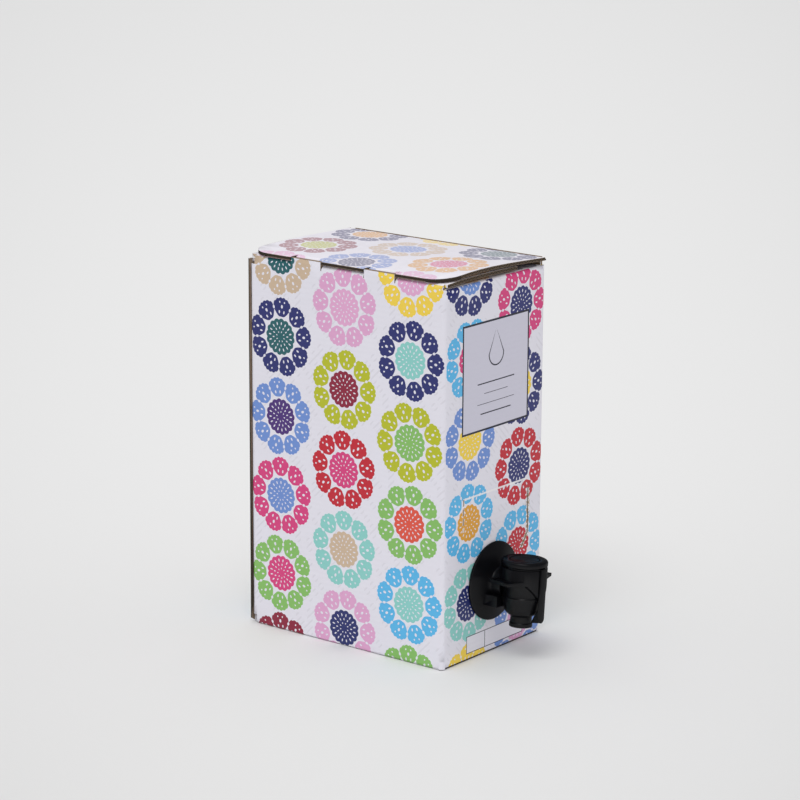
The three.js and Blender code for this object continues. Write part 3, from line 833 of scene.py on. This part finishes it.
def body_side(centre, normal):
    """Finish of a face of the carton, with the cut ends of its flaps."""
    on_flap_end = abs(normal.y) > 0.9 and abs(centre.y) > HALF_Y - 1.2 * MM
    if on_flap_end and (centre.z > MINOR_FLAP_TOP or centre.z < BOARD):
        return "raw"
    across = abs(normal.x) > 0.9
    if across and abs(centre.x) < HALF_X - 4 * BOARD and centre.z > MINOR_FLAP_TOP - BOARD:
        return "raw"
    if across and abs(centre.x) < BOARD and centre.z < 2 * BOARD:
        return "raw"
    if normal.z > 0.9 and centre.z > TOP - NEAR:
        return "inside"
    return outer_face(centre, normal)


def lid_side(centre, normal):
    """Finish of a face of the lid and its lock tabs."""
    if centre.z < LID_UNDER - NEAR:
        return "raw" if abs(normal.y) > 0.9 or normal.z < -0.9 else "inside"
    if normal.z > 0.5:
        return "top"
    if normal.z < -0.5:
        return "inside"
    if normal.x > 0.9 and centre.x > HALF_X - NEAR:
        return "side"
    return "raw"


def smooth(piece, degrees):
    """Shades a piece smooth, but for edges sharper than an angle."""
    only(piece)
    bpy.ops.object.shade_smooth_by_angle(angle=math.radians(degrees))


def thickened(piece, thickness, **settings):
    """Gives a sheet its thickness, inwards from its outer face."""
    only(piece)
    solidify = piece.modifiers.new("Thickness", "SOLIDIFY")
    solidify.thickness = thickness
    for key, value in settings.items():
        setattr(solidify, key, value)
    bpy.ops.object.modifier_apply(modifier=solidify.name)


def joined(objects, name):
    """One piece from several."""
    only(objects[0])
    for other in objects:
        other.select_set(True)
    bpy.ops.object.join()
    piece = bpy.context.view_layer.objects.active
    piece.name = piece.data.name = name
    return piece


def sheet(name, columns, rows, place):
    """A grid, with each point put where place says from how far along and across it lies."""
    deselect_all()
    bpy.ops.mesh.primitive_grid_add(
        x_subdivisions=columns, y_subdivisions=rows, size=1, calc_uvs=False, location=(0, 0, 0)
    )
    piece = bpy.context.view_layer.objects.active
    piece.name = piece.data.name = name
    for vertex in piece.data.vertices:
        vertex.co = place(vertex.co.x + 0.5, vertex.co.y + 0.5)
    return piece


ROUND_STEPS = 32
SKIRT_BOARD = 1.2 * MM
# Low and high ends of the rounded corners below and above the tube
SKIRT_LEVELS = (
    (PANEL_FOOT, BOARD + FOLD + 0.5 * MM),
    (MINOR_FLAP_TOP - FOLD - 0.2 * MM, MINOR_FLAP_TOP - 0.2 * MM),
)


def quarter_round(sx, sy, low, high):
    """A quarter of a tube round the upright fold at one corner."""
    centre = Vector((sx * (HALF_X - FOLD), sy * (HALF_Y - FOLD), (low + high) / 2))
    deselect_all()
    bpy.ops.mesh.primitive_cylinder_add(
        vertices=ROUND_STEPS, radius=FOLD - SKIN, depth=high - low,
        end_fill_type="NOTHING", calc_uvs=False, location=centre,
    )
    bpy.ops.object.transform_apply(location=True, rotation=False, scale=False)
    bpy.ops.object.mode_set(mode="EDIT")
    for inwards in ((-sx, 0, 0), (0, -sy, 0)):
        bpy.ops.mesh.select_all(action="SELECT")
        bpy.ops.mesh.bisect(
            plane_co=centre, plane_no=inwards, clear_outer=True, threshold=0.001 * MM
        )
    bpy.ops.object.mode_set(mode="OBJECT")
    return bpy.context.view_layer.objects.active


def corner_skirts(name, settings):
    """Rounded ends of the three folded corners, above and below the tube."""
    piece = joined([
        quarter_round(sx, sy, low, high)
        for sx, sy in ((-1, -1), (1, -1), (1, 1))
        for low, high in SKIRT_LEVELS
    ], name)

    def side_of(centre, normal):
        if abs(centre.x) - HALF_X > abs(centre.y) - HALF_Y:
            return "side"
        return "front" if centre.y < 0 else "back"

    paint_board(piece, side_of, settings)
    thickened(piece, SKIRT_BOARD)
    smooth(piece, 40)
    return piece


GRID_STEP = 9 * MM
HINGE_CUTS = 5


class CARTON_OT_board(bpy.types.Operator):
    """Dresses the folded carton and its lid as printed fluted board"""

    bl_idname = "carton.board"
    bl_label = "Printed board"

    def execute(self, context):
        settings = context.scene.carton_print
        body = copy_of("carton_body", "printed_carton")
        slice_grid(body, GRID_STEP)
        paint_board(body, body_side, settings)
        for vertex in body.data.vertices:
            vertex.co = bulged(vertex.co, settings.bulge)
        smooth(body, 40)
        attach(body, "root")
        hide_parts("carton_body")
        skirts = corner_skirts("corner_skirts", settings)
        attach(skirts, "root")
        lid = copy_of("carton_lid", "printed_lid")
        slice_grid(lid, GRID_STEP)
        slice_at(lid, -HALF_X + BOARD + 0.8 * MM)
        for k in range(HINGE_CUTS):
            slice_at(lid, HALF_X - HINGE_ROUND * (1 - k / HINGE_CUTS))
        paint_board(lid, lid_side, settings)
        for vertex in lid.data.vertices:
            vertex.co = lid_shape(vertex.co)
        smooth(lid, 40)
        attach(lid, "lid")
        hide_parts("carton_lid")
        return {"FINISHED"}


def thread(points, thickness):
    """A thin strip of paper along points, as a mesh."""
    curve = bpy.data.curves.new("thread", "CURVE")
    curve.dimensions = "3D"
    curve.bevel_depth = thickness / 2
    curve.bevel_resolution = 0
    curve.use_fill_caps = True
    spline = curve.splines.new("POLY")
    spline.points.add(len(points) - 1)
    for target, point in zip(spline.points, points):
        target.co = (*point, 1.0)
    made = bpy.data.objects.new("thread", curve)
    bpy.context.scene.collection.objects.link(made)
    only(made)
    bpy.ops.object.convert(target="MESH")
    return bpy.context.view_layer.objects.active


LINER = 0.26 * MM
LINER_STEP = 4 * MM
WAVE_POINTS = 10


def fluted_edge(start, end, out, waved, flute):
    """Liners and, across the flutes, the wave between them, along one cut edge."""
    start, end, out = Vector(start), Vector(end), Vector(out)
    run = end - start
    up = Vector((0, 0, 1))
    lift = out * (0.02 * MM)
    reach = BOARD / 2 - LINER / 2
    rise = LID_BOW if start.z > LID_UNDER else FLAP_BOW

    def along(share):
        point = start + run * share
        return point + up * front_bow(point.x, point.y, rise)

    steps = max(2, int(run.length / LINER_STEP))
    threads = [
        thread([along(k / steps) + up * (sign * reach) + lift for k in range(steps + 1)], LINER)
        for sign in (-1, 1)
    ]
    if waved:
        steps = max(8, int(run.length / (flute / WAVE_POINTS)))
        height = reach - 0.6 * LINER
        turns = math.tau * run.length / flute
        wave = [
            along(k / steps) + lift + up * (height * math.sin(turns * k / steps))
            for k in range(steps + 1)
        ]
        threads.append(thread(wave, LINER))
    return threads


def lid_edge_runs():
    """Stretches of the lid's free edge between the tongues, as pairs of Y."""
    stops = [-HALF_Y + LID_CORNER]
    for centre in sorted(TONGUE_CENTRES):
        stops += [centre - TONGUE_HALF, centre + TONGUE_HALF]
    stops.append(HALF_Y - LID_CORNER)
    return list(zip(stops[::2], stops[1::2]))


class CARTON_OT_fluted_edges(bpy.types.Operator):
    """Adds the liners and flutes that show on the cut edges of the board"""

    bl_idname = "carton.fluted_edges"
    bl_label = "Fluted edges"

    def execute(self, context):
        settings = context.scene.carton_print
        flute = settings.flute
        edge = kraft_material("Cut liner", settings, 0.8)
        middle = TOP - BOARD / 2
        left, front, back = (-1, 0, 0), (0, -1, 0), (0, 1, 0)
        threads = []
        for low, high in lid_edge_runs():
            start, end = (-HALF_X, low, middle), (-HALF_X, high, middle)
            threads += fluted_edge(start, end, left, False, flute)
        near, far = -HALF_X + LID_CORNER, HALF_X - MM
        for y, out in ((-HALF_Y, front), (HALF_Y, back)):
            threads += fluted_edge((near, y, middle), (far, y, middle), out, True, flute)
        lid_piece = joined(threads, "lid_edge_flutes")
        lid_piece.data.materials.append(edge)
        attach(lid_piece, "lid")
        flap = INNER_FLAP_TOP - BOARD / 2
        near, far = -HALF_X + FOLD, -HALF_X + INNER_FLAP_LENGTH
        threads = []
        for y, out in ((-HALF_Y + 0.6 * MM, front), (HALF_Y - 0.6 * MM, back)):
            threads += fluted_edge((near, y, flap), (far, y, flap), out, True, flute)
        body_piece = joined(threads, "carton_edge_flutes")
        body_piece.data.materials.append(edge)
        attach(body_piece, "root")
        return {"FINISHED"}


HINGE_TAIL = 2.5 * MM
HINGE_PAPER = 0.2 * MM
HINGE_WRINKLE = 0.06 * MM


class CARTON_OT_hinge(bpy.types.Operator):
    """Adds the printed paper that runs over the lid's crease"""

    bl_idname = "carton.hinge"
    bl_label = "Hinge crease"

    def execute(self, context):
        settings = context.scene.carton_print
        low = INNER_FLAP_TOP - HINGE_TAIL
        ends = HALF_Y - FOLD

        def place(along, across):
            y, z = ends * (2 * along - 1), low + (TOP - low) * across
            wrinkle = HINGE_WRINKLE * ripple(Vector((0, y, z)), 90.0, 2.0)
            return HALF_X + SKIN + wrinkle, y, z

        piece = sheet("hinge_paper", 60, 10, place)
        for made in board_materials(settings):
            piece.data.materials.append(made)
        lining = SIDES.index("inside")
        thickened(piece, HINGE_PAPER, material_offset=lining, material_offset_rim=lining)
        smooth(piece, 40)
        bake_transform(piece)
        return {"FINISHED"}


GLAND_DEPTH = 9 * MM
GLAND_HEIGHT = 62 * MM
CREASE_DEPTH = 1.6 * MM
FOLD_DEPTH = 2.2 * MM
CROWN = 1.5 * MM
SHOULDER_DROP = 2.5 * MM
SEAM_MARGIN = 9 * MM
SEAM_WIDTH = 11 * MM
SEAM_LIFT = 3.2 * MM
SEAM_WAVER = 0.7 * MM
SEAM_GAP = 0.6 * MM


def creased(co, low, high):
    """Where a point of the bag goes when its film creases. The film round the gland stays."""
    if co.y < low.y + GLAND_DEPTH and co.z < GLAND_HEIGHT:
        return co
    middle = (low + high) / 2
    half = (high - low) / 2
    rel = Vector([(co[i] - middle[i]) / half[i] for i in range(3)])
    top = max(0.0, rel.z) ** 8
    crown = top * (1 - 0.35 * rel.x ** 2 - 0.25 * rel.y ** 4)
    crease = noise.noise(Vector((co.x * 70, co.y * 45, co.z * 40))) * CREASE_DEPTH
    fold = abs(noise.noise(Vector((co.x * 30, co.y * 22, co.z * 25 + 4)))) * FOLD_DEPTH
    inwards = Vector((-rel.x ** 5, -rel.y ** 5, -top))
    moved = co + inwards * (fold + max(0.0, crease))
    moved.z += crown * CROWN - top * SHOULDER_DROP * abs(rel.x) ** 3
    return moved


def bag_seam(low, high):
    """The flat welded seam along the bag's top, folded over to the rear."""

    def place(along, across):
        x = low.x + SEAM_MARGIN + (high.x - low.x - 2 * SEAM_MARGIN) * along
        lift = SEAM_LIFT * math.sin(math.pi * 0.6 * across)
        waver = SEAM_WAVER * noise.noise(Vector((x * 60, across * 2, 1.0))) * across
        return x, SEAM_WIDTH * across, high.z + SEAM_GAP + lift + waver

    piece = sheet("bag_seam", 80, 8, place)
    thickened(piece, 0.25 * MM)
    smooth(piece, 50)
    return piece


class CARTON_OT_bag(bpy.types.Operator):
    """Swaps the plain bag solid for a creased film bag with a welded seam"""

    bl_idname = "carton.bag"
    bl_label = "Film bag"

    def execute(self, context):
        bag = copy_of("filled_bag", "film_bag")
        slice_grid(bag, 5 * MM)
        low, high = [Vector(c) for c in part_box("filled_bag")]
        for vertex in bag.data.vertices:
            vertex.co = creased(vertex.co, low, high)
        film = film_material("Barrier film")
        bag.data.materials.append(film)
        smooth(bag, 60)
        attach(bag, "root")
        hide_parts("filled_bag")
        seam = bag_seam(low, high)
        seam.data.materials.append(film)
        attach(seam, "root")
        return {"FINISHED"}


TAP_PIECES = (
    ("tap_body", "moulded_tap", "root", "black_plastic"),
    ("cap_ring", "moulded_cap_ring", "root", "black_plastic"),
    ("tear_off_tab", "moulded_tear_tab", "root", "black_plastic"),
    ("push_button", "moulded_button", "valve", "black_plastic"),
    ("bag_gland", "moulded_gland", "root", "gland_plastic"),
)


def moulded_copy(node, name, width):
    """A smooth copy of a turned or moulded node, with its sharp edges rounded."""
    piece = copy_of(node, name)
    bpy.ops.object.mode_set(mode="EDIT")
    bpy.ops.mesh.select_all(action="SELECT")
    bpy.ops.mesh.dissolve_limited(angle_limit=math.radians(1))
    bpy.ops.object.mode_set(mode="OBJECT")
    bevel = piece.modifiers.new("Moulded edges", "BEVEL")
    bevel.width = width
    bevel.segments = 2
    bevel.limit_method = "ANGLE"
    bevel.angle_limit = math.radians(28)
    bevel.use_clamp_overlap = True
    bpy.ops.object.modifier_apply(modifier=bevel.name)
    smooth(piece, 32)
    return piece


class CARTON_OT_tap(bpy.types.Operator):
    """Finishes the press tap, its cap, button, tear-off tab and gland"""

    bl_idname = "carton.tap"
    bl_label = "Press tap"

    def execute(self, context):
        settings = context.scene.carton_tap
        black = plastic_material("Black plastic", settings.colour, settings.roughness, 5200.0, 0.3)
        natural = plastic_material("Natural plastic", hex_colour(GLAND_WHITE), 0.45, 4000.0)
        soft = plastic_material("Elastomer", hex_colour(ELASTOMER_GREY), 0.62, 3000.0)
        finishes = {"black_plastic": black, "gland_plastic": natural, "elastomer": soft}
        for node, name, body, slot in TAP_PIECES:
            piece = moulded_copy(node, name, settings.edge)
            piece.data.materials.append(finishes[slot])
            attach(piece, body)
            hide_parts(node)
        for node in ("valve_stem", "valve_seal"):
            target = frame["nodes"][node]
            target.data.materials.clear()
            target.data.materials.append(natural if node == "valve_stem" else soft)
        diaphragm = copy_of("return_diaphragm", "moulded_diaphragm")
        diaphragm.data.materials.append(soft)
        smooth(diaphragm, 40)
        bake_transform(diaphragm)
        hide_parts("return_diaphragm")
        return {"FINISHED"}


CAMERA_PLACE = Vector((-1.12275, -0.88545, 0.47469))
CAMERA_YAW = math.radians(51.82)
CAMERA_PITCH = math.radians(-14.01)
CAMERA_ROLL = math.radians(0.31)
SENSOR = 36
KEY_FROM = Vector((-0.45, -0.16, 0.88))
KEY_SPREAD = math.radians(34)
OPEN_ROOM = (1, 1, 1, 1)
DARK_ROOM = (0.22, 0.22, 0.24, 1)
FLOOR_DROP = 0.2 * MM
FLOOR_SIZE = 14


def camera_turn():
    """The camera's axes from its yaw, pitch and roll."""
    ahead = Vector((
        math.sin(CAMERA_YAW) * math.cos(CAMERA_PITCH),
        math.cos(CAMERA_YAW) * math.cos(CAMERA_PITCH),
        math.sin(CAMERA_PITCH),
    ))
    level = Vector((math.cos(CAMERA_YAW), -math.sin(CAMERA_YAW), 0))
    upright = level.cross(ahead)
    right = level * math.cos(CAMERA_ROLL) + upright * math.sin(CAMERA_ROLL)
    up = upright * math.cos(CAMERA_ROLL) - level * math.sin(CAMERA_ROLL)
    return Matrix((right, up, -ahead)).transposed().to_4x4()


def overhead_light(name, towards, strength):
    """A wide, even light that comes from one direction."""
    data = bpy.data.lights.new(name, "SUN")
    data.angle = KEY_SPREAD
    data.energy = strength
    lamp = bpy.data.objects.new(name, data)
    lamp.location = towards * 2
    lamp.rotation_euler = (-towards).to_track_quat("-Z", "Y").to_euler()
    bpy.context.scene.collection.objects.link(lamp)


def floor_tone(g, split, settings):
    """Colour of the floor, painted darker away from the carton as seen from the camera: a painted
    fall-off of light towards the picture's corners.
    """
    ahead = Vector((math.sin(CAMERA_YAW), math.cos(CAMERA_YAW)))
    reach = -(CAMERA_PLACE.x * ahead.x + CAMERA_PLACE.y * ahead.y)
    depth = g.add(g.add(g.mul(split[0], ahead.x), g.mul(split[1], ahead.y)), reach)
    aside = g.math("DIVIDE", g.sub(g.mul(split[0], ahead.y), g.mul(split[1], ahead.x)), depth)
    drop = g.sub(g.math("DIVIDE", CAMERA_PLACE.z, depth), math.tan(-CAMERA_PITCH))
    away = g.add(g.mul(aside, aside), g.mul(drop, drop))
    corner = (SENSOR / 2 / settings.lens) ** 2
    off = g.math("MINIMUM", away, 3 * corner)
    return g.sub(settings.floor, g.mul(off, settings.falloff * 2 / corner))


class CARTON_OT_stage(bpy.types.Operator):
    """Sets the floor, the soft lights, the world and the camera"""

    bl_idname = "carton.stage"
    bl_label = "Stage"

    def execute(self, context):
        settings = context.scene.carton_stage
        deselect_all()
        bpy.ops.mesh.primitive_plane_add(size=FLOOR_SIZE, location=(0, 0, -FLOOR_DROP))
        floor = context.view_layer.objects.active
        floor.name = "floor"
        made, g, shader = material("Floor paper")
        _, split = g.place()
        grey = floor_tone(g, split, settings)
        g.put(g.vector(grey, grey, grey), shader.inputs["Base Color"])
        shader.inputs["Roughness"].default_value = 0.9
        shader.inputs["Specular IOR Level"].default_value = 0.1
        floor.data.materials.append(made)
        world = bpy.data.worlds.new("Studio")
        context.scene.world = world
        world.use_nodes = True
        background = world.node_tree.nodes["Background"]
        background.inputs["Strength"].default_value = settings.fill
        sky = Graph(world.node_tree)
        rays = sky.node("ShaderNodeLightPath")
        room = sky.mix(rays.outputs["Is Glossy Ray"], OPEN_ROOM, DARK_ROOM)
        sky.put(room, background.inputs["Color"])
        overhead_light("Key light", KEY_FROM, settings.key)
        camera_data = bpy.data.cameras.new("Camera")
        camera_data.sensor_width = SENSOR
        camera_data.lens = settings.lens
        camera_data.clip_start = 0.05
        camera_data.clip_end = 50
        camera = bpy.data.objects.new("Camera", camera_data)
        camera.matrix_world = Matrix.Translation(CAMERA_PLACE) @ camera_turn()
        context.scene.collection.objects.link(camera)
        context.scene.camera = camera
        context.scene.view_settings.view_transform = "Standard"
        return {"FINISHED"}


class CARTON_PT_panel(bpy.types.Panel):
    """Lists the steps that dress the carton"""

    bl_label = "Bag in box carton"
    bl_idname = "CARTON_PT_panel"
    bl_space_type = "VIEW_3D"
    bl_region_type = "UI"
    bl_category = "Carton"

    def draw(self, context):
        for step in STEPS:
            self.layout.operator(step.bl_idname)


STEPS = (
    CARTON_OT_stage,
    CARTON_OT_board,
    CARTON_OT_fluted_edges,
    CARTON_OT_hinge,
    CARTON_OT_bag,
    CARTON_OT_tap,
)
SETTINGS = (
    ("carton_print", CartonPrintSettings),
    ("carton_tap", CartonTapSettings),
    ("carton_stage", CartonStageSettings),
)


def register():
    for name, settings in SETTINGS:
        bpy.utils.register_class(settings)
        setattr(bpy.types.Scene, name, bpy.props.PointerProperty(type=settings))
    for step in STEPS:
        bpy.utils.register_class(step)
    bpy.utils.register_class(CARTON_PT_panel)


def unregister():
    bpy.utils.unregister_class(CARTON_PT_panel)
    for step in reversed(STEPS):
        bpy.utils.unregister_class(step)
    for name, settings in reversed(SETTINGS):
        delattr(bpy.types.Scene, name)
        bpy.utils.unregister_class(settings)


def main():
    register()
    bpy.ops.carton.stage()
    bpy.ops.carton.board()
    bpy.ops.carton.fluted_edges()
    bpy.ops.carton.hinge()
    bpy.ops.carton.bag()
    bpy.ops.carton.tap()


if __name__ == "__main__":
    main()
